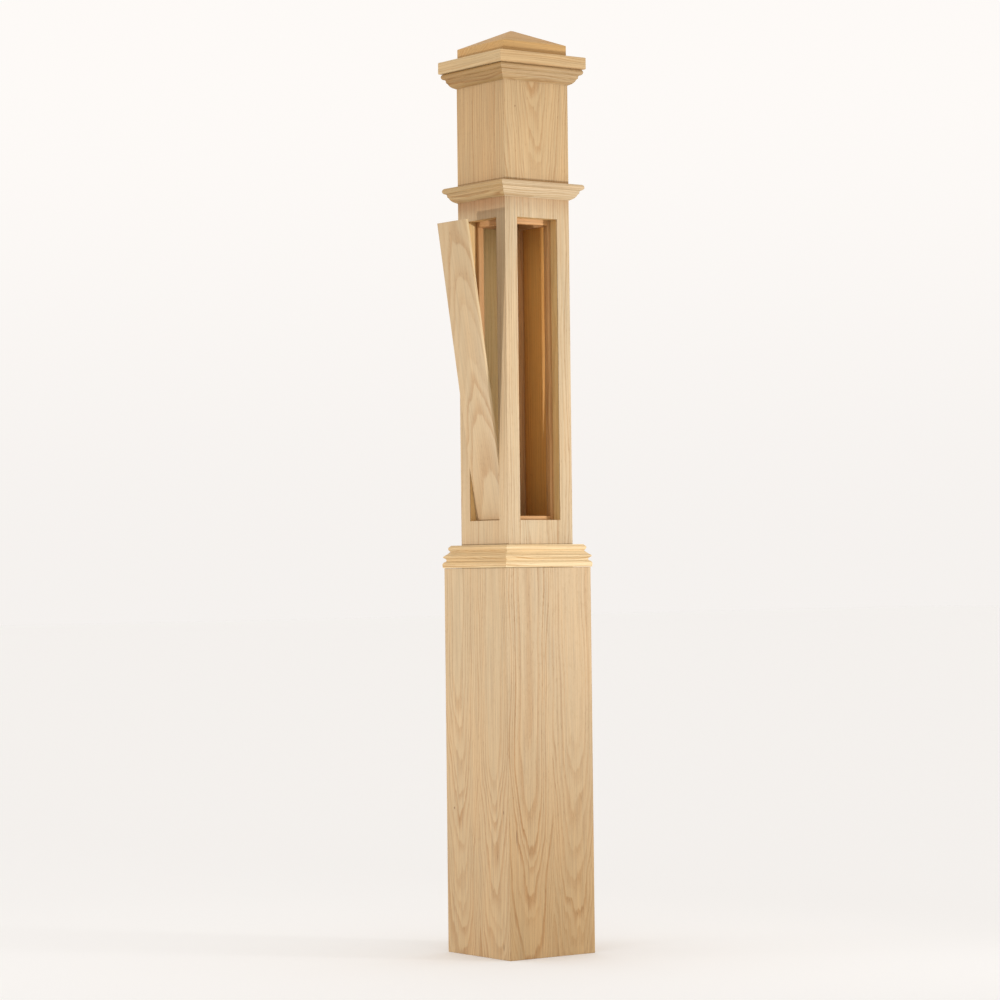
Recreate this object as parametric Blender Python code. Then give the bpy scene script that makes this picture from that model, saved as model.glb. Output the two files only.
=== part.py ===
# Box newel post in unfinished oak: a hollow square lower box, a slimmer hollow shaft with a
# tall window in each side, mitred mouldings round both, and a square cap with a low pyramid.
# The post's axis is Z and its foot is at z = 0. The front faces -Y and the left side faces -X.

import math

import bmesh
import bpy
from mathutils import Matrix, Vector

# Clearances between pieces that touch
GAP = 0.0003

# Lower box: four mitred boards, hollow, with the shaft's foot inside its top
BOX_SIDE = 0.15875
BOX_HEIGHT = 0.583

# Shaft: four mitred boards, each with one window
SHAFT_SIDE = 0.12065
SHAFT_WALL = 0.0175
SHAFT_RISE = 0.7555
SHAFT_LAP = 0.150
WINDOW_WIDTH = 0.0749
WINDOW_HEIGHT = 0.4555
WINDOW_SILL = 0.0714

# Strips and blocks inside the shaft, behind the windows' edges
CORNER_BLOCK = 0.010
CORNER_BLOCK_OVERRUN = 0.040
BACKING_THICKNESS = 0.010
BACKING_HEIGHT = 0.030
SILL_LEDGE = 0.0065
HEAD_LEDGE = 0.0080

# Flat panels
PANEL_THICKNESS = 0.0048
PANEL_CLEARANCE = 0.0004
PANEL_FOOT_DEPTH = 0.0122
PANEL_LEAN = math.radians(8.6)

# Base moulding, round the shaft on the lower box's top edge and a little past its faces
BASE_MOULDING_HEIGHT = 0.0342
BASE_MOULDING_OVERHANG = 0.00155

# Neck and bed mouldings, both of one section
CROWN_HEIGHT = 0.0232
CROWN_DEPTH = 0.0174
NECK_DROP = 0.1753

# Cap: a slab of four mitred rails, and a pyramid on a short square block
SLAB_SIDE = 0.1611
SLAB_THICKNESS = 0.0181
SLAB_RAIL_WIDTH = 0.045
SLAB_ARRIS = 0.0012
CAP_BLOCK_SIDE = 0.1187
CAP_BLOCK_EDGE = 0.0185
CAP_BLOCK_RISE = 0.0256
CAP_BLOCK_TIP = 0.0040

# Number of straight steps in each rounded stretch of a moulding
ARC_STEPS = 6

# Levels and half widths that follow from the sizes above
BOX_WALL = (BOX_SIDE - SHAFT_SIDE) / 2 - GAP
BASE_MOULDING_DEPTH = (BOX_SIDE - SHAFT_SIDE) / 2 + BASE_MOULDING_OVERHANG
SHAFT_HALF = SHAFT_SIDE / 2
HOLLOW_HALF = SHAFT_HALF - SHAFT_WALL
SHAFT_FOOT = BOX_HEIGHT - SHAFT_LAP
SHAFT_TOP = BOX_HEIGHT + SHAFT_RISE
SILL_Z = BOX_HEIGHT + WINDOW_SILL
HEAD_Z = SILL_Z + WINDOW_HEIGHT
SLAB_Z = SHAFT_TOP + GAP
CAP_BLOCK_Z = SLAB_Z + SLAB_THICKNESS + GAP

# Each side is made facing -Y and then turned about the post's axis
SIDES = {"front": 0.0, "right": math.pi / 2, "back": math.pi, "left": 3 * math.pi / 2}

# Bare oak by kind of piece: colour, roughness
BOARD_OAK = ((0.66, 0.50, 0.32), 0.62)
MOULDING_OAK = ((0.64, 0.47, 0.28), 0.60)
CAP_OAK = ((0.66, 0.48, 0.28), 0.60)
BLOCK_OAK = ((0.60, 0.42, 0.28), 0.70)
PANEL_OAK = ((0.65, 0.52, 0.34), 0.62)


def clear_scene():
    for obj in list(bpy.data.objects):
        bpy.data.objects.remove(obj, do_unlink=True)


def collection(name):
    made = bpy.data.collections.new(name)
    bpy.context.scene.collection.children.link(made)
    return made


def material(name, oak):
    colour, roughness = oak
    mat = bpy.data.materials.new(name)
    mat.use_nodes = True
    mat.diffuse_color = (*colour, 1.0)
    shader = mat.node_tree.nodes["Principled BSDF"]
    shader.inputs["Base Color"].default_value = (*colour, 1.0)
    shader.inputs["Roughness"].default_value = roughness
    shader.inputs["Metallic"].default_value = 0.0
    return mat


def add_object(name, bm, where, oak, turn=0.0):
    mesh = bpy.data.meshes.new(name)
    bmesh.ops.recalc_face_normals(bm, faces=bm.faces)
    bm.to_mesh(mesh)
    bm.free()
    obj = bpy.data.objects.new(name, mesh)
    obj.rotation_euler.z = turn
    where.objects.link(obj)
    mesh.materials.append(material(name, oak))
    return obj


def box(low, high):
    """A box between two opposite corners."""
    bm = bmesh.new()
    bmesh.ops.create_cube(bm, size=1.0)
    low, high = Vector(low), Vector(high)
    bmesh.ops.scale(bm, vec=high - low, verts=bm.verts)
    bmesh.ops.translate(bm, vec=(low + high) / 2, verts=bm.verts)
    return bm


def mitre(bm):
    """Cut both ends at 45 degrees, on planes through the post's axis, half a gap short of them."""
    for end in (-1.0, 1.0):
        normal = Vector((end, 1.0, 0.0)).normalized()
        cut = bmesh.ops.bisect_plane(
            bm,
            geom=bm.verts[:] + bm.edges[:] + bm.faces[:],
            plane_co=-normal * GAP / 2,
            plane_no=normal,
            clear_outer=True,
        )
        rim = [e for e in cut["geom_cut"] if isinstance(e, bmesh.types.BMEdge)]
        bmesh.ops.contextual_create(bm, geom=rim)
    return bm


def bulge(start, end, rise):
    """Points of the arc from start to end that stands out by rise to the left of its chord."""
    start, end = Vector(start), Vector(end)
    chord = end - start
    half = chord.length / 2
    radius = (half * half + rise * rise) / (2 * abs(rise))
    side = math.copysign(1.0, rise)
    left = Vector((-chord.y, chord.x)).normalized() * side
    centre = (start + end) / 2 + left * (abs(rise) - radius)
    first = start - centre
    sweep = -side * 2 * math.asin(min(1.0, half / radius))
    if abs(rise) > half:
        sweep = -side * (2 * math.pi - abs(sweep))
    return [centre + Matrix.Rotation(sweep * i / ARC_STEPS, 2) @ first for i in range(ARC_STEPS + 1)]


def base_section():
    """Outline of the base moulding: a torus, a sharp nose, a cove and a bead, from the foot up."""
    d, h = BASE_MOULDING_DEPTH, BASE_MOULDING_HEIGHT
    outline = [Vector((0, 0)), Vector((0.965 * d, 0)), Vector((0.985 * d, 0.02 * h))]
    outline += bulge((d, 0.09 * h), (0.81 * d, 0.29 * h), -0.08 * d)
    outline += bulge((0.79 * d, 0.36 * h), (0.945 * d, 0.45 * h), 0.02 * d)
    outline += bulge((0.96 * d, 0.465 * h), (0.945 * d, 0.52 * h), -0.015 * d)
    outline += bulge((0.93 * d, 0.53 * h), (0.595 * d, 0.72 * h), 0.02 * d)
    outline += bulge((0.59 * d, 0.745 * h), (0.585 * d, 0.965 * h), -0.11 * d)
    outline += [Vector((0.55 * d, h)), Vector((0, h))]
    return outline


def crown_section():
    """Outline of the neck and bed moulding: a round over a hollowed step, a fillet and a nose."""
    d, h = CROWN_DEPTH, CROWN_HEIGHT
    outline = [Vector((0, 0)), Vector((0.06 * d, 0))]
    outline += bulge((0.07 * d, 0.02 * h), (0.50 * d, 0.27 * h), -0.05 * d)
    outline += bulge((0.51 * d, 0.29 * h), (0.655 * d, 0.42 * h), 0.02 * d)
    outline += [Vector((0.675 * d, 0.56 * h)), Vector((0.70 * d, 0.60 * h))]
    outline += bulge((0.73 * d, 0.62 * h), (0.87 * d, 0.99 * h), -0.19 * d)
    outline += [Vector((0.85 * d, h)), Vector((0, h))]
    return outline


def rail_section():
    """Outline of a slab rail: a rectangle whose two outer arrises are eased."""
    w, h, r = SLAB_RAIL_WIDTH, SLAB_THICKNESS, SLAB_ARRIS
    ease = r * (1 - math.sqrt(0.5))
    outline = [Vector((0, 0))]
    outline += bulge((w - r, 0), (w, r), -ease)
    outline += bulge((w, h - r), (w - r, h), -ease)
    outline += [Vector((0, h))]
    return outline


def mitred_length(name, section, inner, z, reach, where, oak, turn):
    """A section run along one side, its back at the distance inner from the axis, mitred."""
    curve = bpy.data.curves.new(name, "CURVE")
    curve.dimensions = "2D"
    curve.fill_mode = "BOTH"
    curve.extrude = inner + reach
    spline = curve.splines.new("POLY")
    spline.points.add(len(section) - 1)
    for point, place in zip(spline.points, section):
        point.co = (place.x, place.y, 0.0, 1.0)
    spline.use_cyclic_u = True
    flat = bpy.data.objects.new(name, curve)
    where.objects.link(flat)
    solid = bpy.data.meshes.new_from_object(flat.evaluated_get(bpy.context.evaluated_depsgraph_get()))
    bpy.data.objects.remove(flat, do_unlink=True)
    bm = bmesh.new()
    bm.from_mesh(solid)
    bpy.data.meshes.remove(solid)
    bmesh.ops.remove_doubles(bm, verts=bm.verts, dist=0.00001)
    bmesh.ops.dissolve_limit(bm, angle_limit=math.radians(0.5), verts=bm.verts, edges=bm.edges)
    stand_up = Matrix(((0, 0, 1, 0), (-1, 0, 0, -inner), (0, 1, 0, z), (0, 0, 0, 1)))
    bmesh.ops.transform(bm, matrix=stand_up, verts=bm.verts)
    return add_object(name, mitre(bm), where, oak, turn)


def mitred_board(name, side, wall, z0, z1, where, turn):
    half = side / 2
    bm = mitre(box((-half, -half, z0), (half, -half + wall, z1)))
    return add_object(name, bm, where, BOARD_OAK, turn)


def lower_box(where):
    for side, turn in SIDES.items():
        mitred_board(f"lower_box_{side}", BOX_SIDE, BOX_WALL, 0.0, BOX_HEIGHT, where, turn)


def shaft(where, cutters):
    for side, turn in SIDES.items():
        board = mitred_board(f"shaft_{side}", SHAFT_SIDE, SHAFT_WALL, SHAFT_FOOT, SHAFT_TOP, where, turn)
        hole = box(
            (-WINDOW_WIDTH / 2, -SHAFT_HALF - SHAFT_WALL, SILL_Z),
            (WINDOW_WIDTH / 2, -HOLLOW_HALF + SHAFT_WALL, HEAD_Z),
        )
        cutter = add_object(f"window_cutter_{side}", hole, cutters, BOARD_OAK, turn)
        cutter.hide_render = True
        cutter.display_type = "WIRE"
        window = board.modifiers.new("Window", "BOOLEAN")
        window.operation = "DIFFERENCE"
        window.solver = "EXACT"
        window.object = cutter


def mouldings(where):
    inner = SHAFT_HALF + GAP
    rings = (
        ("base_moulding", base_section(), BOX_HEIGHT + GAP, BASE_MOULDING_DEPTH),
        ("neck_moulding", crown_section(), SHAFT_TOP - NECK_DROP - CROWN_HEIGHT, CROWN_DEPTH),
        ("bed_moulding", crown_section(), SHAFT_TOP - CROWN_HEIGHT, CROWN_DEPTH),
    )
    for kind, section, z, depth in rings:
        for side, turn in SIDES.items():
            mitred_length(f"{kind}_{side}", section, inner, z, depth, where, MOULDING_OAK, turn)


def cap(where):
    inner = SLAB_SIDE / 2 - SLAB_RAIL_WIDTH
    section = rail_section()
    for side, turn in SIDES.items():
        mitred_length(f"cap_rail_{side}", section, inner, SLAB_Z, SLAB_RAIL_WIDTH, where, CAP_OAK, turn)
    half = CAP_BLOCK_SIDE / 2
    bm = box((-half, -half, CAP_BLOCK_Z), (half, half, CAP_BLOCK_Z + CAP_BLOCK_EDGE))
    top = max(bm.faces, key=lambda face: face.calc_center_median().z)
    raised = bmesh.ops.extrude_face_region(bm, geom=[top])
    tip = [v for v in raised["geom"] if isinstance(v, bmesh.types.BMVert)]
    bm.faces.remove(top)
    taper = CAP_BLOCK_TIP / CAP_BLOCK_SIDE
    bmesh.ops.scale(bm, vec=(taper, taper, 1.0), verts=tip)
    bmesh.ops.translate(bm, vec=(0, 0, CAP_BLOCK_RISE), verts=tip)
    add_object("cap_block", bm, where, CAP_OAK)


def corner_blocks(where):
    outer = HOLLOW_HALF - GAP
    inner = outer - CORNER_BLOCK
    low, high = SILL_Z - CORNER_BLOCK_OVERRUN, HEAD_Z + CORNER_BLOCK_OVERRUN
    corners = {"front_right": 0.0, "back_right": 1.0, "back_left": 2.0, "front_left": 3.0}
    for corner, quarter in corners.items():
        bm = box((inner, -outer, low), (outer, -inner, high))
        add_object(f"corner_block_{corner}", bm, where, BLOCK_OAK, quarter * math.pi / 2)


def backing_blocks(where):
    outer = HOLLOW_HALF - GAP
    inner = outer - BACKING_THICKNESS
    half = outer - CORNER_BLOCK - GAP
    sill_top = SILL_Z + SILL_LEDGE
    head_foot = HEAD_Z - HEAD_LEDGE
    for side, turn in SIDES.items():
        sill = box((-half, -outer, sill_top - BACKING_HEIGHT), (half, -inner, sill_top))
        add_object(f"sill_block_{side}", sill, where, BLOCK_OAK, turn)
        head = box((-half, -outer, head_foot), (half, -inner, head_foot + BACKING_HEIGHT))
        add_object(f"head_block_{side}", head, where, BLOCK_OAK, turn)


def panels(where):
    half = WINDOW_WIDTH / 2 - PANEL_CLEARANCE
    low, high = SILL_Z + PANEL_CLEARANCE, HEAD_Z - PANEL_CLEARANCE
    seat = -HOLLOW_HALF
    for side in ("right", "back"):
        bm = box((-half, seat - PANEL_THICKNESS, low), (half, seat, high))
        add_object(f"fitted_panel_{side}", bm, where, PANEL_OAK, SIDES[side])
    turn = SIDES["left"]
    bm = box((-half, 0.0, 0.0), (half, PANEL_THICKNESS, high - low))
    loose = add_object("loose_panel", bm, where, PANEL_OAK, turn)
    loose.rotation_euler.x = PANEL_LEAN
    foot = Vector((0.0, -SHAFT_HALF + PANEL_FOOT_DEPTH, SILL_Z + GAP))
    loose.location = Matrix.Rotation(turn, 3, "Z") @ foot


def main():
    clear_scene()
    parts = collection("newel_post")
    cutters = collection("cutters")
    lower_box(parts)
    shaft(parts, cutters)
    mouldings(parts)
    cap(parts)
    corner_blocks(parts)
    backing_blocks(parts)
    panels(parts)


main()
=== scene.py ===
# Box newel post in bare oak: the finish of every board, moulding, block and panel, and its stage.
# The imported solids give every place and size; the pieces made here ease their arrises, run the
# mouldings in finer steps and give each piece its own cut of oak.

import math
from typing import NamedTuple

import bmesh
import bpy
from bpy.props import FloatProperty, FloatVectorProperty, IntProperty, PointerProperty
from mathutils import Matrix, Vector


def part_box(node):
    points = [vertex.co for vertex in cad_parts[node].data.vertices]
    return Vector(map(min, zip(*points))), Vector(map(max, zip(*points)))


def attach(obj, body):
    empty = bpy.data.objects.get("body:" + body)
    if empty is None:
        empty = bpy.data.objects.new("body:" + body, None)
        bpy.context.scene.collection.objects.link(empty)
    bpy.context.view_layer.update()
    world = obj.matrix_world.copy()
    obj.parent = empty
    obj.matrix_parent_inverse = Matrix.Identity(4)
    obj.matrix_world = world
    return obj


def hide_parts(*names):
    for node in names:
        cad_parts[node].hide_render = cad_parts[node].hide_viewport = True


bl_info = {
    "name": "Box Newel Post in Oak",
    "version": (1, 0, 0),
    "blender": (4, 5, 0),
    "location": "3D View > Sidebar > Newel Post",
    "description": "Eases, moulds and finishes the pieces of a box newel post, and sets its stage",
    "category": "Object",
}

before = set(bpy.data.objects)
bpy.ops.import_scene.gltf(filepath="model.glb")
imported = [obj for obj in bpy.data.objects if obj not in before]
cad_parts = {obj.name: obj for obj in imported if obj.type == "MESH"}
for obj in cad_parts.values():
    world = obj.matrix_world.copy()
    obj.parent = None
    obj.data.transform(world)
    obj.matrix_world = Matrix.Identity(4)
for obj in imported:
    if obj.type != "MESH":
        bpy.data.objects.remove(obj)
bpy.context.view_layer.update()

# Each side's pieces are worked out facing -Y, then turned by this angle about the post's axis
SIDES = {"front": 0.0, "right": math.pi / 2, "back": math.pi, "left": 3 * math.pi / 2}
PANEL_LEAN = math.radians(8.6)

# Neighbouring solids stand this far apart; a glued mitre is drawn closer than that
CAD_GAP = 0.0003
MITRE_GAP = 0.00008

# Faces that meet at more than this angle keep a crisp edge between them
MOULDING_CRISP = math.radians(28)
BOARD_CRISP = math.radians(50)


def depth_of(node):
    """How far a front piece reaches from the shaft's face."""
    low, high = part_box(node)
    return high.y - low.y


# Levels and depths read off the solids
SHAFT_HALF = -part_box("shaft_front")[0].y
HOLLOW_HALF = -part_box("shaft_front")[1].y
BOX_HALF = -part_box("lower_box_front")[0].y
NECK_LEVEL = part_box("neck_moulding_front")[0].z
NECK_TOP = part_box("neck_moulding_front")[1].z
BASE_DEPTH = depth_of("base_moulding_front")
CROWN_DEPTH = depth_of("bed_moulding_front")
RAIL_WIDTH = depth_of("cap_rail_front")
PANEL_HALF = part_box("loose_panel")[1].y


# Sizes and colours a user would change


class PostSizes(bpy.types.PropertyGroup):
    """Sizes of the finer shaping."""

    arris: FloatProperty(
        name="Eased arris",
        description="How far the square arrises are taken off with sandpaper",
        default=0.0005,
        min=0.0001,
        max=0.002,
        precision=5,
        unit="LENGTH",
        subtype="DISTANCE",
    )
    rail_arris: FloatProperty(
        name="Slab arris",
        description="Radius of the slab's outer arrises",
        default=0.0012,
        min=0.0002,
        max=0.004,
        precision=5,
        unit="LENGTH",
        subtype="DISTANCE",
    )
    arc_steps: IntProperty(
        name="Moulding steps",
        description="Number of straight steps in each rounded stretch of a moulding",
        default=14,
        min=4,
        max=48,
    )


def tint_property(name, description, default, most=2.0):
    """A colour, or a tint that a colour is multiplied by. A part above 1 makes the wood paler."""
    return FloatVectorProperty(
        name=name,
        description=description,
        default=default,
        subtype="COLOR",
        min=0.0,
        max=most,
    )


class OakColours(bpy.types.PropertyGroup):
    """Colours of the bare oak. Some tints stand in for the soft shade that the lamps leave out."""

    pale: tint_property(
        "Early growth",
        "The pale wood between the growth lines",
        (0.470, 0.342, 0.195),
        1.0,
    )
    line: tint_property(
        "Growth line",
        "The darker wood along each growth line",
        (0.330, 0.174, 0.062),
        1.0,
    )
    pore: tint_property(
        "Open pores",
        "The short open pores along the growth lines",
        (0.170, 0.085, 0.032),
        1.0,
    )
    # Partly the cap block's own redder oak, partly painted light: the block is made paler so that its
    # slopes, which the low lamps leave dim, look lit from above.
    cap: tint_property(
        "Cap block",
        "Tint of the cap's block, which is redder than the boards",
        (1.17, 0.99, 0.66),
    )
    # Painted shade: the lower box's boards darken towards their foot, standing in for the light
    # falling off towards the floor.
    foot: tint_property(
        "Foot of the box",
        "Tint that the lower box's boards darken to at their foot",
        (0.97, 0.87, 0.70),
    )
    upper: tint_property(
        "Upper square",
        "Tint of the shaft above the neck moulding",
        (1.01, 0.93, 0.80),
    )
    # Painted light: the faces inside the hollow are made warmer and deeper in colour, standing in for
    # the light bounced between them.
    inside: tint_property(
        "Inside the shaft",
        "Tint of the boards' faces inside the shaft",
        (1.16, 0.88, 0.50),
    )
    # Painted shade: a soft shadow on the shaft close under the neck moulding.
    under: tint_property(
        "Under the neck",
        "Tint of the shaft close under the neck moulding",
        (0.75, 0.59, 0.45),
    )
    # Painted light: the window jambs are made paler, standing in for the light falling on them.
    jamb: tint_property(
        "Window jambs",
        "Tint of the sawn edges round each window",
        (1.40, 1.32, 1.00),
    )
    # Painted light and shade: the right panel's inner face is made browner, standing in for the warm
    # light bounced inside the hollow.
    painted_right_panel_inside: tint_property(
        "Right panel, inside",
        "Tint of the right panel's inner face, which is browner",
        (1.53, 1.10, 0.45),
    )
    # Painted shade: the back panel's inner face is made greyer, standing in for the shade it lies in.
    painted_back_panel_inside: tint_property(
        "Back panel, inside",
        "Tint of the back panel's inner face, which is greyer",
        (1.41, 1.52, 1.22),
    )
    # Painted shade: the moulding under the slab is darkened as though shaded by the slab.
    bed: tint_property(
        "Bed moulding",
        "Tint of the moulding under the slab",
        (0.94, 0.90, 0.80),
    )
    # Painted light: the base moulding is made paler, standing in for light that the lamps leave out.
    base: tint_property(
        "Base moulding",
        "Tint of the base moulding",
        (1.46, 1.56, 1.60),
    )
    neck: tint_property(
        "Neck moulding",
        "Tint of the neck moulding",
        (1.13, 1.20, 1.30),
    )
    # Painted shade: the left lengths of the neck and bed mouldings are darkened as the shaded side.
    left_moulding_shade: tint_property(
        "Darker lengths",
        "Further tint of the left lengths of the neck and bed mouldings",
        (0.81, 0.71, 0.52),
    )
    # Painted shade: the left length of the base moulding is darkened as the shaded side.
    base_left_shade: tint_property(
        "Left base length",
        "Further tint of the left length of the base moulding",
        (0.81, 0.76, 0.68),
    )
    # Painted light: the shaft's front board is made paler, as the better-lit side.
    shaft_front: tint_property(
        "Shaft's front board",
        "Tint of the shaft's front board",
        (1.03, 1.07, 1.12),
    )
    # Painted shade: the thin warm shadow line just over the neck moulding.
    over_neck_shade: tint_property(
        "Joint over the neck",
        "Tint of the thin line where the upper square meets the neck moulding",
        (1.00, 0.74, 0.42),
    )
    sawn_edge: tint_property(
        "Panel edges",
        "Tint of the panels' sawn edges",
        (1.22, 1.28, 1.30),
    )
    slab: tint_property(
        "Slab",
        "Tint of the cap's slab",
        (1.13, 1.11, 1.01),
    )
    block: tint_property(
        "Inner blocks",
        "Tint of the strips and blocks inside the shaft",
        (1.10, 0.86, 0.62),
    )


class StageSettings(bpy.types.PropertyGroup):
    """The floor, the lights and the camera."""

    floor: FloatVectorProperty(
        name="Floor",
        description="Colour of the floor",
        default=(0.915, 0.915, 0.910),
        subtype="COLOR",
        min=0.0,
        max=1.0,
    )
    sky: FloatProperty(
        name="Soft light",
        description="Strength of the even, slightly warm light from all round",
        default=1.0,
        min=0.0,
        max=4.0,
    )
    horizon: FloatProperty(
        name="Light at the horizon",
        description="Strength of that light low down, where it meets the floor",
        default=0.925,
        min=0.0,
        max=4.0,
    )
    left_lamp: FloatProperty(
        name="Left lamp",
        description="Power of the low, fairly hard lamp at the left and behind",
        default=4.35,
        min=0.0,
        max=2000.0,
        unit="POWER",
    )
    right_lamp: FloatProperty(
        name="Right lamp",
        description="Power of the low, soft lamp at the right and in front",
        default=4.75,
        min=0.0,
        max=2000.0,
        unit="POWER",
    )
    camera_azimuth: FloatProperty(
        name="Camera azimuth",
        description="Where the camera stands round the post: 0 is straight in front",
        default=math.radians(36.561),
        unit="ROTATION",
        subtype="ANGLE",
    )
    camera_distance: FloatProperty(
        name="Camera distance",
        description="From the post's axis to the camera, along the floor",
        default=4.848,
        min=1.0,
        max=20.0,
        unit="LENGTH",
        subtype="DISTANCE",
    )
    camera_height: FloatProperty(
        name="Camera height",
        description="Height of the camera above the floor",
        default=0.5778,
        min=0.0,
        max=5.0,
        unit="LENGTH",
        subtype="DISTANCE",
    )
    lens: FloatProperty(
        name="Lens",
        description="Focal length in millimetres on a 36 mm sensor",
        default=114.78,
        min=20.0,
        max=400.0,
    )


# Shader wiring


class Wire:
    """One output socket of a shader tree. Sums and products of wires add Math nodes."""

    def __init__(self, tree, socket):
        self.tree = tree
        self.socket = socket

    def node(self, kind, settings, sockets, output=0):
        """Add a node, set it up, feed its sockets with values or wires, and give an output."""
        made = self.tree.nodes.new(kind)
        for name, value in settings.items():
            setattr(made, name, value)
        for key, value in sockets.items():
            if isinstance(value, Wire):
                self.tree.links.new(value.socket, made.inputs[key])
            else:
                made.inputs[key].default_value = value
        return Wire(self.tree, made.outputs[output])

    def maths(self, operation, *others):
        """A Math node with this wire as its first value."""
        sockets = dict(enumerate((self, *others)))
        return self.node("ShaderNodeMath", {"operation": operation}, sockets)

    def __add__(self, other):
        return self.maths("ADD", other)

    def __sub__(self, other):
        return self.maths("SUBTRACT", other)

    def __mul__(self, other):
        return self.maths("MULTIPLY", other)

    def __truediv__(self, other):
        return self.maths("DIVIDE", other)

    def __rsub__(self, other):
        return self.maths("MULTIPLY_ADD", -1.0, other)

    __radd__ = __add__
    __rmul__ = __mul__

    def ramp(self, low, high, at_low=0.0, at_high=1.0):
        """A smooth step from one value to another."""
        settings = {"interpolation_type": "SMOOTHSTEP", "clamp": True}
        sockets = {
            "Value": self,
            "From Min": low,
            "From Max": high,
            "To Min": at_low,
            "To Max": at_high,
        }
        return self.node("ShaderNodeMapRange", settings, sockets)

    def parts(self):
        """The three parts of a vector, each as a wire."""
        split = self.node("ShaderNodeSeparateXYZ", {}, {0: self}).socket.node
        return [Wire(self.tree, part) for part in split.outputs]

    def place(self, across, depth, along):
        """A point from three wires, for a texture to be read at."""
        return self.node("ShaderNodeCombineXYZ", {}, {0: across, 1: depth, 2: along})

    def noise(self, point, detail=2.0, roughness=0.5):
        """Soft noise about zero, from -0.5 to 0.5."""
        sockets = {"Vector": point, "Scale": 1.0, "Detail": detail, "Roughness": roughness}
        return self.node("ShaderNodeTexNoise", {"noise_dimensions": "3D"}, sockets) - 0.5

    def blend_all(self, colour, tint):
        """A colour multiplied by a fixed tint."""
        settings = {"data_type": "RGBA", "blend_type": "MULTIPLY"}
        return self.node("ShaderNodeMix", settings, {0: 1.0, 6: colour, 7: rgba(tint)}, 2)

    def blend(self, first, second, mode="MIX"):
        """Two colours mixed by this wire."""
        settings = {"data_type": "RGBA", "blend_type": mode, "clamp_factor": True}
        return self.node("ShaderNodeMix", settings, {0: self, 6: first, 7: second}, 2)


def rgba(colour):
    """A colour with the fourth part that colour sockets take."""
    return (*colour, 1.0)


# The oak


class Cut(NamedTuple):
    """How a strip of wood was cut from the log, in metres.

    The growth rings run round the pith, which lies behind the strip's face at the place across
    given. Below the level where its rings part, the pith goes deeper by slope, which draws the
    pointed arches of plain-sawn oak. A slope below zero turns them over: they point up.
    """

    across: float = 0.0
    depth: float = 0.012
    part_level: float = 0.3
    slope: float = 0.06


class Mark(NamedTuple):
    """A pin knot or a dark streak: its place on the face, half its width and length, in metres."""

    across: float
    level: float
    half_width: float
    half_length: float
    strength: float


class Board(NamedTuple):
    """The grain of one piece: two strips glued edge to edge, or one strip.

    seam is the place across where the right strip starts, and the default lies past every piece.
    ring is the mean width of a year's growth, and seed shifts all the noise. The tones say how
    strongly the piece takes the foot, upper square, under-neck and jamb tints. The foot and
    under-neck tints and the thin line over the neck are painted shade, and the jamb tint is
    painted light. face is how far the face stands from the post's axis. edge is half a panel's
    width, for its sawn edges.
    arches_end is how far from the parting level the arches go on. Lengths are in metres.
    """

    left: Cut = Cut()
    right: Cut = Cut()
    seam: float = 9.0
    ring: float = 0.0034
    seed: float = 0.0
    contrast: float = 1.0
    foot_shade_tone: float = 0.0
    upper_tone: float = 0.0
    under_neck_shade_tone: float = 0.0
    jamb_tone: float = 1.0
    face: float = SHAFT_HALF
    marks: tuple = ()
    edge: float = 0.0
    arches_end: float = 2.0


class Figure(NamedTuple):
    """One kind of soft noise along the grain: its size across and along it, in metres.

    The shift keeps it apart from the other kinds on the same piece.
    """

    width: float
    length: float
    detail: float
    roughness: float = 0.5
    shift: float = 0.0


class Place(NamedTuple):
    """Where a point lies on a piece that faces -Y, as wires in metres."""

    across: Wire
    along: Wire
    side: Wire
    deep: Wire


WANDER = Figure(0.035, 0.170, 1.0)
SWAY = Figure(0.070, 0.170, 2.0, 0.5, 7.3)
SHAKE = Figure(0.009, 0.060, 2.0, 0.6, 3.1)
PATCH = Figure(0.012, 0.090, 2.0, 0.5, 2.2)
STREAK = Figure(0.0019, 0.150, 3.0, 0.65, 1.7)
FINE_STREAK = Figure(0.000855, 0.075, 2.0, 0.6, 6.6)
PORE = Figure(0.0007, 0.009, 1.0, 0.5, 9.2)
BLOTCH = Figure(0.050, 0.220, 3.0, 0.55, 4.4)

# How far noise moves the pith across, and the level where the rings part
WANDER_REACH = 0.020
SWAY_REACH = 0.16
# The rounding, in metres, at the first and last arch
FIRST_ARCH = 0.06
LAST_ARCH = 0.05
# Share of the depth below a face that takes a point nearer to the pith
DEPTH_SHARE = 0.6
# How ragged the growth lines are where they run straight, and in the arches
RAGGED_STRAIGHT = 0.0012
RAGGED_ARCHES = 0.0034
# Groups of good years are about this wide, and stretch the rings by this share of it
GOOD_YEARS = 0.011
GOOD_YEARS_REACH = 0.9
# What sets the rings and good years of the right strip apart from those of the left
RING_SHIFT = 5.5
GOOD_YEARS_SHIFT = 3.0
# Share of a year's growth by which its line has risen, and the shares over which it fades
LINE_RISE = 0.12
LINE_FADE = (0.14, 0.80)
# Share of the growth line's colour that the strongest line takes, before a board's contrast
LINE_SHARE = 0.62
# Tint of the broad, warmer patches
WARM_PATCH = (0.93, 0.78, 0.60)
# How high up the lower box the painted shade at its foot reaches, in metres
FOOT_SHADE_HEIGHT = 0.46
# The tint that changes nothing
PLAIN = (1.0, 1.0, 1.0)


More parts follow.
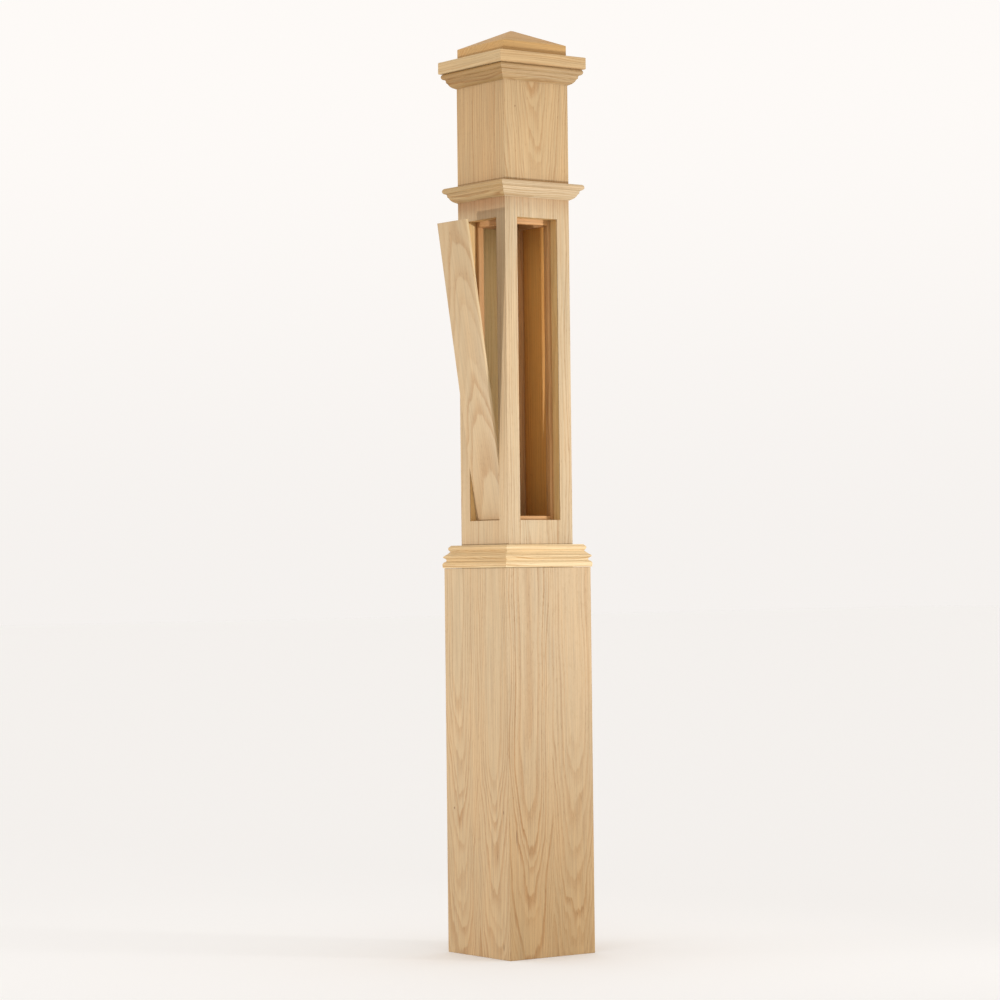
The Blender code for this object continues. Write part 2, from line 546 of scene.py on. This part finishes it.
def grain_axes(tree, turn, lengthwise, lean):
    """Where a point lies once its piece is turned back to face -Y and stood upright."""
    here = Wire(tree, None).node("ShaderNodeTexCoord", {}, {}, "Object")
    point = {"vector_type": "POINT"}
    turned = here.node("ShaderNodeMapping", point, {0: here, "Rotation": (0.0, 0.0, -turn)})
    if lean:
        upright = {0: turned, "Rotation": (-lean, 0.0, 0.0)}
        turned = here.node("ShaderNodeMapping", point, upright)
    side, deep, up = turned.parts()
    across, along = (up, side) if lengthwise else (side, up)
    return Place(across, along, side, deep)


def grain(place, board, figure):
    """Noise of one figure, drawn out along the grain."""
    point = place.deep.place(
        place.across / figure.width + (board.seed + figure.shift),
        place.deep / figure.width,
        place.along / figure.length + board.seed,
    )
    return point.noise(point, figure.detail, figure.roughness)


def growth_lines(place, board, shake):
    """How strongly a growth line shows, where the face cuts through the rings round the pith."""
    left, right = board.left, board.right
    on_right = place.across.maths("GREATER_THAN", board.seam)

    def per_strip(on_left, other):
        return on_right * (other - on_left) + on_left

    wander = grain(place, board, WANDER)
    sway = grain(place, board, SWAY)
    from_pith = place.across - per_strip(left.across, right.across) + wander * WANDER_REACH
    below = per_strip(left.part_level, right.part_level) - place.along + sway * SWAY_REACH
    slope = per_strip(left.slope, right.slope)
    sink = (below * slope.maths("SIGN")).maths("SMOOTH_MAX", 0.0, FIRST_ARCH)
    sink = sink.maths("SMOOTH_MIN", board.arches_end, LAST_ARCH) * slope.maths("ABSOLUTE")
    depth = sink + place.deep * DEPTH_SHARE + per_strip(left.depth, right.depth)
    depth = depth + board.face * DEPTH_SHARE
    ragged = below.ramp(-0.05, 0.15, RAGGED_STRAIGHT, RAGGED_ARCHES)
    radius = (from_pith * from_pith + depth * depth).maths("SQRT") + shake * ragged
    years = radius.place(radius / GOOD_YEARS + board.seed, on_right * GOOD_YEARS_SHIFT, 0.0)
    stretch = radius.noise(years, 1.0) * GOOD_YEARS * GOOD_YEARS_REACH
    ring = (radius + stretch) / board.ring + per_strip(board.seed, board.seed + RING_SHIFT)
    part = ring.maths("FRACT")
    year = ring.maths("FLOOR")
    strength = year.node("ShaderNodeTexWhiteNoise", {"noise_dimensions": "1D"}, {"W": year})
    line = part.ramp(0.0, LINE_RISE) * part.ramp(*LINE_FADE, 1.0, 0.0)
    patchy = grain(place, board, PATCH) * 1.3 + 0.85
    return line * (strength * 0.75 + 0.25) * patchy.maths("MINIMUM", 1.25)


def add_marks(colour, place, board, shake):
    """A colour darkened at the board's knots and dark streaks."""
    dark = rgba(bpy.context.scene.oak_colours.pore)
    for mark in board.marks:
        wide = (place.across - mark.across) / mark.half_width
        tall = (place.along - mark.level) / mark.half_length
        reach = (wide * wide + tall * tall + shake).maths("SQRT")
        colour = reach.ramp(0.3, 1.0, mark.strength, 0.0).blend(colour, dark)
    return colour


def add_tints(colour, place, board, tint, painted_inside_light):
    """A colour tinted by where on the post it lies: its edges, levels, jambs and inside. The foot,
    under-neck, over-neck, jamb and inside tints are painted light and shade.
    """
    colours = bpy.context.scene.oak_colours

    def tinted(mask, by):
        return mask.blend(colour, rgba(by), "MULTIPLY")

    if board.edge:
        sawn = place.side.maths("ABSOLUTE").ramp(board.edge - 0.0006, board.edge - 0.0001)
        colour = tinted(sawn, colours.sawn_edge)
    # Painted shade, darker towards the lower box's foot
    if board.foot_shade_tone:
        foot_shade_mask = place.along.ramp(0.0, FOOT_SHADE_HEIGHT, board.foot_shade_tone, 0.0)
        colour = tinted(foot_shade_mask, colours.foot)
    if board.upper_tone:
        high_up = place.along.ramp(NECK_LEVEL - 0.01, NECK_LEVEL + 0.03, 0.0, board.upper_tone)
        colour = tinted(high_up, colours.upper)
        # Painted shade: a thin shadow line just over the neck moulding
        over_neck_shade_mask = place.along.ramp(NECK_TOP + 0.0015, NECK_TOP + 0.0050, 1.0, 0.0)
        colour = tinted(high_up * over_neck_shade_mask, colours.over_neck_shade)
    # Painted shade close under the neck moulding
    if board.under_neck_shade_tone:
        under_neck_shade_mask = place.along.ramp(NECK_LEVEL - 0.030, NECK_LEVEL - 0.004, 0.0, board.under_neck_shade_tone)
        below_neck = place.along.ramp(NECK_LEVEL, NECK_LEVEL + 0.002, 1.0, 0.0)
        colour = tinted(under_neck_shade_mask * below_neck, colours.under)
    # Painted light on the window jambs
    if painted_inside_light and not board.edge:
        jamb_light_mask = place.deep.ramp(0.0008 - SHAFT_HALF, 0.0020 - SHAFT_HALF, 0.0, board.jamb_tone)
        colour = tinted(jamb_light_mask, colours.jamb)
    colour = colour.blend_all(colour, tint)
    # Painted light inside the hollow
    if painted_inside_light:
        reach = place.side.maths("ABSOLUTE").maths("MAXIMUM", place.deep.maths("ABSOLUTE"))
        inside = reach.ramp(HOLLOW_HALF - 0.0005, HOLLOW_HALF + 0.0015, 1.0, 0.0)
        colour = tinted(inside, painted_inside_light)
    return colour


def oak(name, board, turn=0.0, lengthwise=False, tint=PLAIN, painted_inside_light=None, lean=0.0):
    """Bare oak, sanded. The grain follows the piece's height, or its length on a moulding."""
    colours = bpy.context.scene.oak_colours
    material = bpy.data.materials.new(name)
    material.use_nodes = True
    tree = material.node_tree
    shader = tree.nodes["Principled BSDF"]
    place = grain_axes(tree, turn, lengthwise, lean)
    shake = grain(place, board, SHAKE)
    line = growth_lines(place, board, shake)
    streak = grain(place, board, STREAK)
    fine = grain(place, board, FINE_STREAK)
    pore = grain(place, board, PORE).ramp(0.10, 0.24)
    blotch = grain(place, board, BLOTCH)

    colour = (line * (LINE_SHARE * board.contrast)).blend(rgba(colours.pale), rgba(colours.line))
    colour = (pore * (line * 0.55 + 0.10)).blend(colour, rgba(colours.pore))
    shade = 1.0 + (streak * 0.50 + fine * 0.35) * board.contrast + blotch * 0.26
    grey = shade.place(shade, shade, shade)
    colour = grey.node("ShaderNodeVectorMath", {"operation": "MULTIPLY"}, {0: colour, 1: grey})
    warm = (blotch * 1.6 + 0.30).maths("MAXIMUM", 0.0)
    colour = (warm * 0.5).blend(colour, rgba(WARM_PATCH), "MULTIPLY")
    colour = add_marks(colour, place, board, shake)
    colour = add_tints(colour, place, board, tint, painted_inside_light)

    rough = line * 0.08 + pore * 0.10 + streak * 0.10 + 0.56
    height = 1.0 - pore * 0.8 - line * 0.25 + streak * 0.5
    relief = {"Strength": 0.35, "Distance": 0.0003, "Height": height}
    bump = height.node("ShaderNodeBump", {}, relief)
    tree.links.new(colour.socket, shader.inputs["Base Color"])
    tree.links.new(rough.socket, shader.inputs["Roughness"])
    tree.links.new(bump.socket, shader.inputs["Normal"])
    shader.inputs["Specular IOR Level"].default_value = 0.35
    return material


# How each side's boards were cut, and where they have knots and streaks


BOX_FRONT = Board(
    left=Cut(-0.040, 0.036, 0.300, 0.070),
    right=Cut(0.044, 0.040, 0.330, 0.075),
    seam=0.003,
    seed=2.4,
    foot_shade_tone=1.0,
    contrast=1.1,
    face=BOX_HALF,
    marks=(Mark(-0.0654, 0.183, 0.0012, 0.016, 0.75),),
)
BOX_LEFT = Board(
    left=Cut(-0.046, 0.030, 0.420, 0.075),
    right=Cut(0.043, 0.034, 0.330, 0.070),
    seam=0.004,
    seed=11.7,
    foot_shade_tone=0.5,
    contrast=1.25,
    face=BOX_HALF,
    marks=(
        Mark(-0.0596, 0.2196, 0.0022, 0.0026, 0.8),
        Mark(0.0660, 0.2188, 0.0022, 0.0040, 0.6),
        Mark(0.0635, 0.0185, 0.0030, 0.0080, 0.5),
    ),
)
BOX_OTHER = Board(
    left=Cut(-0.036, 0.034, 0.360, 0.070),
    right=Cut(0.042, 0.030, 0.420, 0.065),
    seam=0.002,
    seed=23.1,
    foot_shade_tone=0.7,
    face=BOX_HALF,
)
SHAFT_FRONT = Board(
    left=Cut(-0.001, 0.030, 1.380, 0.070),
    ring=0.0031,
    contrast=1.15,
    seed=31.9,
    arches_end=0.22,
    upper_tone=1.0,
    under_neck_shade_tone=0.4,
    marks=(Mark(-0.0393, 1.2767, 0.0018, 0.0022, 0.8),),
)
SHAFT_LEFT = Board(
    left=Cut(-0.085, 0.010, 0.9, 0.02),
    seed=41.2,
    contrast=1.2,
    upper_tone=1.0,
    under_neck_shade_tone=1.0,
)
# How strongly the jambs of the two far windows take the jamb tint, which is painted light
FAR_JAMB_LIGHT = 0.15
BOX_BOARDS = {
    "front": BOX_FRONT,
    "right": BOX_OTHER,
    "back": BOX_OTHER._replace(seed=BOX_OTHER.seed + 13.0),
    "left": BOX_LEFT,
}
SHAFT_BOARDS = {
    "front": SHAFT_FRONT,
    "right": SHAFT_FRONT._replace(seed=SHAFT_FRONT.seed + 17.0, jamb_tone=FAR_JAMB_LIGHT),
    "back": SHAFT_LEFT._replace(seed=SHAFT_LEFT.seed + 17.0, jamb_tone=FAR_JAMB_LIGHT),
    "left": SHAFT_LEFT,
}

# Where the grain of each group of pieces starts; each piece's own number is added to it
MOULDING_SEED = 50.0
RAIL_SEED = 80.0
CAP_BLOCK_SEED = 91.0
CORNER_SEED = 101.0
BACKING_SEED = 131.0
PANEL_SEED = 141.0


# Outlines


def bulge(start, end, rise, steps):
    """Points of the arc from start to end that stands out by rise to the left of its chord."""
    start, end = Vector(start), Vector(end)
    chord = end - start
    half = chord.length / 2
    radius = (half * half + rise * rise) / (2 * abs(rise))
    side = math.copysign(1.0, rise)
    left = Vector((-chord.y, chord.x)).normalized() * side
    centre = (start + end) / 2 + left * (abs(rise) - radius)
    first = start - centre
    sweep = -side * 2 * math.asin(min(1.0, half / radius))
    if abs(rise) > half:
        sweep = -side * (2 * math.pi - abs(sweep))
    return [centre + Matrix.Rotation(sweep * i / steps, 2) @ first for i in range(steps + 1)]


def base_outline(d, h, steps):
    """The base moulding: a torus, a sharp nose, a cove and a bead, from the foot up."""
    outline = [Vector((0, 0)), Vector((0.965 * d, 0)), Vector((0.985 * d, 0.02 * h))]
    outline += bulge((d, 0.09 * h), (0.81 * d, 0.29 * h), -0.08 * d, steps)
    outline += bulge((0.79 * d, 0.36 * h), (0.945 * d, 0.45 * h), 0.02 * d, steps)
    outline += bulge((0.96 * d, 0.465 * h), (0.945 * d, 0.52 * h), -0.015 * d, steps)
    outline += bulge((0.93 * d, 0.53 * h), (0.595 * d, 0.72 * h), 0.02 * d, steps)
    outline += bulge((0.59 * d, 0.745 * h), (0.585 * d, 0.965 * h), -0.11 * d, steps)
    return outline + [Vector((0.55 * d, h)), Vector((0, h))]


def crown_outline(d, h, steps):
    """The neck and bed moulding: a round over a hollowed step, a fillet and a nose."""
    outline = [Vector((0, 0)), Vector((0.06 * d, 0))]
    outline += bulge((0.07 * d, 0.02 * h), (0.50 * d, 0.27 * h), -0.05 * d, steps)
    outline += bulge((0.51 * d, 0.29 * h), (0.655 * d, 0.42 * h), 0.02 * d, steps)
    outline += [Vector((0.675 * d, 0.56 * h)), Vector((0.70 * d, 0.60 * h))]
    outline += bulge((0.73 * d, 0.62 * h), (0.87 * d, 0.99 * h), -0.19 * d, steps)
    return outline + [Vector((0.85 * d, h)), Vector((0, h))]


def rail_outline(w, h, r, steps):
    """A slab rail: a rectangle whose two outer arrises are eased to the radius r."""
    ease = r * (1 - math.sqrt(0.5))
    outline = [Vector((0, 0))]
    outline += bulge((w - r, 0), (w, r), -ease, steps)
    outline += bulge((w, h - r), (w - r, h), -ease, steps)
    return outline + [Vector((0, h))]


# Mitred lengths, swept by Geometry Nodes


def mitred_length_tree():
    """Sweep an outline along one side, shear its ends to the mitres and turn it into place."""
    tree = bpy.data.node_groups.new("Mitred length", "GeometryNodeTree")
    tree.interface.new_socket("Outline", in_out="INPUT", socket_type="NodeSocketGeometry")
    for name in ("Inner distance", "Level", "Mitre gap", "Turn"):
        tree.interface.new_socket(name, in_out="INPUT", socket_type="NodeSocketFloat")
    tree.interface.new_socket("Finish", in_out="INPUT", socket_type="NodeSocketMaterial")
    tree.interface.new_socket("Length", in_out="OUTPUT", socket_type="NodeSocketGeometry")

    def add(kind, settings, sockets):
        node = tree.nodes.new(kind)
        for name, value in settings.items():
            setattr(node, name, value)
        for key, value in sockets.items():
            if isinstance(value, bpy.types.NodeSocket):
                tree.links.new(value, node.inputs[key])
            else:
                node.inputs[key].default_value = value
        return node.outputs

    def maths(operation, first, second):
        return add("ShaderNodeMath", {"operation": operation}, {0: first, 1: second})[0]

    given = add("NodeGroupInput", {}, {})
    outline = add("GeometryNodeMeshToCurve", {}, {"Mesh": given["Outline"]})["Curve"]
    run = add("GeometryNodeCurvePrimitiveLine", {}, {"Start": (-1, 0, 0), "End": (1, 0, 0)})["Curve"]
    swept = add(
        "GeometryNodeCurveToMesh",
        {},
        {"Curve": run, "Profile Curve": outline, "Fill Caps": True},
    )["Mesh"]
    point = add("ShaderNodeSeparateXYZ", {}, {0: add("GeometryNodeInputPosition", {}, {})[0]})
    reach = maths("SUBTRACT", given["Inner distance"], point[1])
    half = maths("SUBTRACT", reach, maths("DIVIDE", given["Mitre gap"], math.sqrt(2)))
    sheared = add(
        "ShaderNodeCombineXYZ",
        {},
        {
            0: maths("MULTIPLY", point[0], half),
            1: maths("MULTIPLY", reach, -1.0),
            2: maths("ADD", point[2], given["Level"]),
        },
    )[0]
    turned = add(
        "ShaderNodeVectorRotate",
        {"rotation_type": "Z_AXIS"},
        {"Vector": sheared, "Angle": given["Turn"]},
    )[0]
    set_back = add("GeometryNodeSetPosition", {}, {"Geometry": swept, "Position": turned})[0]
    real = add("GeometryNodeRealizeInstances", {}, {"Geometry": set_back})[0]
    finished = add("GeometryNodeSetMaterial", {}, {"Geometry": real, "Material": given["Finish"]})[0]
    add("NodeGroupOutput", {}, {0: finished})
    return tree


def settle(obj, node):
    """Give a finished piece its body, in place of its solid."""
    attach(obj, "root")
    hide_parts(node)


def mitred_length(tree, node, outline, inner, level, turn, finish):
    """One mitred length of a moulding or rail, in place of its solid."""
    mesh = bpy.data.meshes.new(node)
    count = len(outline)
    mesh.from_pydata(
        [(p.x, -p.y, 0.0) for p in outline],
        [(i, (i + 1) % count) for i in range(count)],
        [],
    )
    obj = bpy.data.objects.new(f"{node}_oak", mesh)
    bpy.context.scene.collection.objects.link(obj)
    maker = obj.modifiers.new("Mitred length", "NODES")
    maker.node_group = tree
    values = {
        "Inner distance": inner,
        "Level": level,
        "Mitre gap": MITRE_GAP,
        "Turn": turn,
        "Finish": finish,
    }
    for item in tree.interface.items_tree:
        if item.in_out == "INPUT" and item.name in values:
            maker[item.identifier] = values[item.name]
    swept = obj.evaluated_get(bpy.context.evaluated_depsgraph_get())
    made = bpy.data.meshes.new_from_object(swept)
    obj.modifiers.clear()
    obj.data = made
    bpy.data.meshes.remove(mesh)
    bm = bmesh.new()
    bm.from_mesh(made)
    bmesh.ops.remove_doubles(bm, verts=bm.verts, dist=1e-6)
    bmesh.ops.recalc_face_normals(bm, faces=bm.faces)
    bm.to_mesh(made)
    bm.free()
    if not made.polygons:
        raise RuntimeError(f"{node}: the sweep made no faces")
    made.shade_smooth()
    made.set_sharp_from_angle(angle=MOULDING_CRISP)
    settle(obj, node)
    return obj


def close_mitres(bm, turn):
    """Bring a board's mitred ends up to its neighbours, as glue does."""
    for vert in bm.verts:
        front = Matrix.Rotation(-turn, 3, "Z") @ vert.co
        off_mitre = -front.y - abs(front.x) - CAD_GAP / math.sqrt(2)
        if abs(off_mitre) < 1e-5:
            front.x += math.copysign((CAD_GAP - MITRE_GAP) / math.sqrt(2), front.x)
            vert.co = Matrix.Rotation(turn, 3, "Z") @ front


def eased_copy(node, finish, arris, mitred_turn=None):
    """A copy of a solid with its square outer arrises eased, in place of it."""
    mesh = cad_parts[node].data.copy()
    mesh.name = f"{node}_oak"
    bm = bmesh.new()
    bm.from_mesh(mesh)
    bmesh.ops.remove_doubles(bm, verts=bm.verts, dist=1e-5)
    bmesh.ops.dissolve_limit(bm, angle_limit=math.radians(0.5), verts=bm.verts, edges=bm.edges)
    if mitred_turn is not None:
        close_mitres(bm, mitred_turn)
    outer = []
    for edge in bm.edges:
        bend = edge.calc_face_angle_signed(0.0)
        if math.radians(20) < bend < math.radians(100):
            outer.append(edge)
    bmesh.ops.bevel(
        bm,
        geom=outer,
        offset=arris,
        offset_type="OFFSET",
        segments=2,
        profile=0.5,
        affect="EDGES",
        clamp_overlap=True,
    )
    bm.to_mesh(mesh)
    bm.free()
    mesh.materials.clear()
    mesh.materials.append(finish)
    mesh.shade_smooth()
    mesh.set_sharp_from_angle(angle=BOARD_CRISP)
    obj = bpy.data.objects.new(f"{node}_oak", mesh)
    bpy.context.scene.collection.objects.link(obj)
    settle(obj, node)
    return obj


# The stage


class LampStand(NamedTuple):
    """Where a lamp stands and what it is turned to; sizes in metres, the beam's spread in degrees."""

    place: tuple
    target: tuple
    size: float
    spread: float


FLOOR_HALF = 30.0
SKY_COLOUR = (0.99, 0.957, 0.93)
LEFT_LAMP = LampStand((-2.95, 1.45, 0.15), (-0.06, 0.0, 0.68), 0.11, 50.0)
RIGHT_LAMP = LampStand((1.50, -2.05, 0.42), (0.0, -0.06, 0.86), 0.24, 56.0)


def make_floor(settings):
    """One large, pale, dull square under the post."""
    mesh = bpy.data.meshes.new("floor")
    corners = [(-1, -1), (1, -1), (1, 1), (-1, 1)]
    mesh.from_pydata([(x * FLOOR_HALF, y * FLOOR_HALF, 0.0) for x, y in corners], [], [(0, 1, 2, 3)])
    floor = bpy.data.objects.new("floor", mesh)
    bpy.context.scene.collection.objects.link(floor)
    material = bpy.data.materials.new("pale_floor")
    material.use_nodes = True
    shader = material.node_tree.nodes["Principled BSDF"]
    shader.inputs["Base Color"].default_value = rgba(settings.floor)
    shader.inputs["Roughness"].default_value = 0.9
    shader.inputs["Specular IOR Level"].default_value = 0.1
    mesh.materials.append(material)


def make_sky(settings):
    """Soft light from all round, a little weaker low down so that it meets the floor's tone."""
    world = bpy.data.worlds.new("Soft white room")
    world.use_nodes = True
    tree = world.node_tree
    background = tree.nodes["Background"]
    background.inputs["Color"].default_value = rgba(SKY_COLOUR)
    direction = Wire(tree, None).node("ShaderNodeTexCoord", {}, {}, "Generated")
    height = direction.parts()[2]
    strength = height.ramp(-0.01, 0.16, settings.horizon, settings.sky)
    tree.links.new(strength.socket, background.inputs["Strength"])
    bpy.context.scene.world = world
    bpy.context.scene.view_settings.view_transform = "Standard"


def make_lamp(name, lamp_stand, power):
    """A round lamp with a narrowed beam, turned to its target."""
    lamp = bpy.data.lights.new(name, "AREA")
    lamp.shape = "DISK"
    lamp.spread = math.radians(lamp_stand.spread)
    lamp.size = lamp_stand.size
    lamp.energy = power
    obj = bpy.data.objects.new(name, lamp)
    obj.location = lamp_stand.place
    obj.rotation_mode = "QUATERNION"
    aim = Vector(lamp_stand.target) - Vector(lamp_stand.place)
    obj.rotation_quaternion = aim.to_track_quat("-Z", "Y")
    bpy.context.scene.collection.objects.link(obj)


# The camera looks this far to the left of the post's axis, and this far up; it leans a little
LOOK_LEFT = math.radians(0.296)
LOOK_UP = math.radians(1.280)
LEAN = math.radians(-0.638)


def make_camera(settings):
    """The camera at the photo's viewing angle."""
    camera = bpy.data.cameras.new("Camera")
    camera.sensor_width = 36.0
    camera.lens = settings.lens
    camera.clip_start = 0.1
    camera.clip_end = 100.0
    obj = bpy.data.objects.new("Camera", camera)
    stand = settings.camera_azimuth
    look = stand - LOOK_LEFT
    level = Vector((math.sin(look), math.cos(look), 0.0))
    sideways = level.cross(Vector((0.0, 0.0, 1.0)))
    ahead = level * math.cos(LOOK_UP) + Vector((0.0, 0.0, math.sin(LOOK_UP)))
    upright = sideways.cross(ahead)
    right = sideways * math.cos(LEAN) + upright * math.sin(LEAN)
    above = upright * math.cos(LEAN) - sideways * math.sin(LEAN)
    axes = Matrix((right, above, -ahead)).transposed().to_4x4()
    place = Vector((-math.sin(stand), -math.cos(stand), 0.0)) * settings.camera_distance
    place.z = settings.camera_height
    obj.matrix_world = Matrix.Translation(place) @ axes
    bpy.context.scene.collection.objects.link(obj)
    bpy.context.scene.camera = obj


# Operators


class NEWEL_OT_boards(bpy.types.Operator):
    """Make the lower box's and the shaft's boards"""

    bl_idname = "newel.boards"
    bl_label = "Boards"
    bl_options = {"REGISTER", "UNDO"}

    def execute(self, context):
        arris = context.scene.post_sizes.arris
        colours = context.scene.oak_colours
        for side, turn in SIDES.items():
            finish = oak(f"oak_lower_box_{side}", BOX_BOARDS[side], turn)
            eased_copy(f"lower_box_{side}", finish, arris, turn)
        for side, turn in SIDES.items():
            # The shaft's front board takes painted light
            tint = colours.shaft_front if side == "front" else PLAIN
            board = SHAFT_BOARDS[side]
            finish = oak(f"oak_shaft_{side}", board, turn, tint=tint, painted_inside_light=colours.inside)
            eased_copy(f"shaft_{side}", finish, arris, turn)
        return {"FINISHED"}


class NEWEL_OT_mouldings(bpy.types.Operator):
    """Make the base, neck and bed mouldings"""

    bl_idname = "newel.mouldings"
    bl_label = "Mouldings"
    bl_options = {"REGISTER", "UNDO"}

    def execute(self, context):
        steps = context.scene.post_sizes.arc_steps
        colours = context.scene.oak_colours
        tree = mitred_length_tree()
        # The base tint is painted light and the bed tint painted shade
        kinds = (
            ("base_moulding", base_outline, BASE_DEPTH, colours.base, colours.base_left_shade),
            ("neck_moulding", crown_outline, CROWN_DEPTH, colours.neck, colours.left_moulding_shade),
            ("bed_moulding", crown_outline, CROWN_DEPTH, colours.bed, colours.left_moulding_shade),
        )
        for number, (kind, outline, depth, tint, left_side_shade) in enumerate(kinds):
            low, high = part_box(f"{kind}_front")
            section = outline(depth, high.z - low.z, steps)
            for side, turn in SIDES.items():
                board = Board(
                    left=Cut(low.z - 0.03, 0.03, 0.0, 0.02),
                    seed=MOULDING_SEED + 7.7 * number + turn,
                    ring=0.0019,
                    contrast=1.35,
                )
                tone = tint
                # The left lengths take a further painted shade
                if side == "left":
                    tone = [a * b for a, b in zip(tint, left_side_shade)]
                finish = oak(f"oak_{kind}_{side}", board, turn, lengthwise=True, tint=tone)
                node = f"{kind}_{side}"
                mitred_length(tree, node, section, -high.y, low.z, turn, finish)
        return {"FINISHED"}


class NEWEL_OT_cap(bpy.types.Operator):
    """Make the cap's slab rails and its block"""

    bl_idname = "newel.cap"
    bl_label = "Cap"
    bl_options = {"REGISTER", "UNDO"}

    def execute(self, context):
        sizes = context.scene.post_sizes
        colours = context.scene.oak_colours
        tree = mitred_length_tree()
        low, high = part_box("cap_rail_front")
        section = rail_outline(RAIL_WIDTH, high.z - low.z, sizes.rail_arris, sizes.arc_steps)
        for side, turn in SIDES.items():
            board = Board(
                left=Cut(low.z - 0.01, 0.03, 0.0, 0.02),
                seed=RAIL_SEED + turn,
                ring=0.0022,
                contrast=1.2,
            )
            finish = oak(f"oak_cap_rail_{side}", board, turn, lengthwise=True, tint=colours.slab)
            node = f"cap_rail_{side}"
            mitred_length(tree, node, section, -high.y, low.z, turn, finish)
        low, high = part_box("cap_block")
        cut = Cut(low.z - 0.05, 0.03, 0.0, 0.02)
        board = Board(left=cut, seed=CAP_BLOCK_SEED, ring=0.0024)
        # The cap tint is partly painted light on the block.
        finish = oak("oak_cap_block", board, lengthwise=True, tint=colours.cap)
        eased_copy("cap_block", finish, sizes.arris)
        return {"FINISHED"}


class NEWEL_OT_inner_blocks(bpy.types.Operator):
    """Make the corner strips and the backing blocks inside the shaft"""

    bl_idname = "newel.inner_blocks"
    bl_label = "Inner Blocks"
    bl_options = {"REGISTER", "UNDO"}

    def execute(self, context):
        arris = context.scene.post_sizes.arris
        tint = context.scene.oak_colours.block
        corners = ("front_right", "back_right", "back_left", "front_left")
        for number, corner in enumerate(corners):
            board = Board(seed=CORNER_SEED + 3.3 * number)
            finish = oak(f"oak_corner_block_{corner}", board, tint=tint)
            eased_copy(f"corner_block_{corner}", finish, arris)
        for kind in ("sill_block", "head_block"):
            for number, (side, turn) in enumerate(SIDES.items()):
                board = Board(seed=BACKING_SEED + 4.1 * number)
                finish = oak(f"oak_{kind}_{side}", board, turn, lengthwise=True, tint=tint)
                eased_copy(f"{kind}_{side}", finish, arris)
        return {"FINISHED"}


class NEWEL_OT_panels(bpy.types.Operator):
    """Make the two fitted panels and the loose one"""

    bl_idname = "newel.panels"
    bl_label = "Panels"
    bl_options = {"REGISTER", "UNDO"}

    def execute(self, context):
        arris = context.scene.post_sizes.arris
        colours = context.scene.oak_colours
        straight = Cut(0.060, 0.040, 0.0, 0.02)
        arched_up = Cut(0.004, 0.045, 0.66, -0.070)
        # The fitted panels' inner faces take painted light and shade
        panels = (
            ("fitted_panel_right", "right", straight, 0.0, colours.painted_right_panel_inside),
            ("fitted_panel_back", "back", straight, 0.0, colours.painted_back_panel_inside),
            ("loose_panel", "left", arched_up, PANEL_LEAN, None),
        )
        for number, (name, side, cut, lean, inner) in enumerate(panels):
            board = Board(
                left=cut,
                seed=PANEL_SEED + 9.1 * number,
                ring=0.0038,
                edge=PANEL_HALF,
                contrast=0.8,
            )
            finish = oak(f"oak_{name}", board, SIDES[side], painted_inside_light=inner, lean=lean)
            eased_copy(name, finish, arris)
        return {"FINISHED"}


class NEWEL_OT_stage(bpy.types.Operator):
    """Set the pale floor, the soft light and the camera"""

    bl_idname = "newel.stage"
    bl_label = "Stage"

    def execute(self, context):
        settings = context.scene.stage_settings
        make_floor(settings)
        make_sky(settings)
        make_lamp("Left lamp", LEFT_LAMP, settings.left_lamp)
        make_lamp("Right lamp", RIGHT_LAMP, settings.right_lamp)
        make_camera(settings)
        return {"FINISHED"}


class NEWEL_PT_sidebar(bpy.types.Panel):
    """Lists the steps that dress the post"""

    bl_idname = "NEWEL_PT_sidebar"
    bl_label = "Newel Post"
    bl_space_type = "VIEW_3D"
    bl_region_type = "UI"
    bl_category = "Newel Post"

    def draw(self, context):
        for step in STEPS:
            self.layout.operator(step.bl_idname)
        for group_name, kind in GROUPS.items():
            box = self.layout.box()
            for name in kind.__annotations__:
                box.prop(getattr(context.scene, group_name), name)


GROUPS = {"post_sizes": PostSizes, "oak_colours": OakColours, "stage_settings": StageSettings}
STEPS = (
    NEWEL_OT_boards,
    NEWEL_OT_mouldings,
    NEWEL_OT_cap,
    NEWEL_OT_inner_blocks,
    NEWEL_OT_panels,
    NEWEL_OT_stage,
)


def register():
    for name, group in GROUPS.items():
        bpy.utils.register_class(group)
        setattr(bpy.types.Scene, name, PointerProperty(type=group))
    for step in STEPS:
        bpy.utils.register_class(step)
    bpy.utils.register_class(NEWEL_PT_sidebar)


def unregister():
    bpy.utils.unregister_class(NEWEL_PT_sidebar)
    for step in reversed(STEPS):
        bpy.utils.unregister_class(step)
    for name, group in reversed(GROUPS.items()):
        delattr(bpy.types.Scene, name)
        bpy.utils.unregister_class(group)


def main():
    register()
    bpy.ops.newel.boards()
    bpy.ops.newel.mouldings()
    bpy.ops.newel.cap()
    bpy.ops.newel.inner_blocks()
    bpy.ops.newel.panels()
    bpy.ops.newel.stage()


if __name__ == "__main__":
    main()
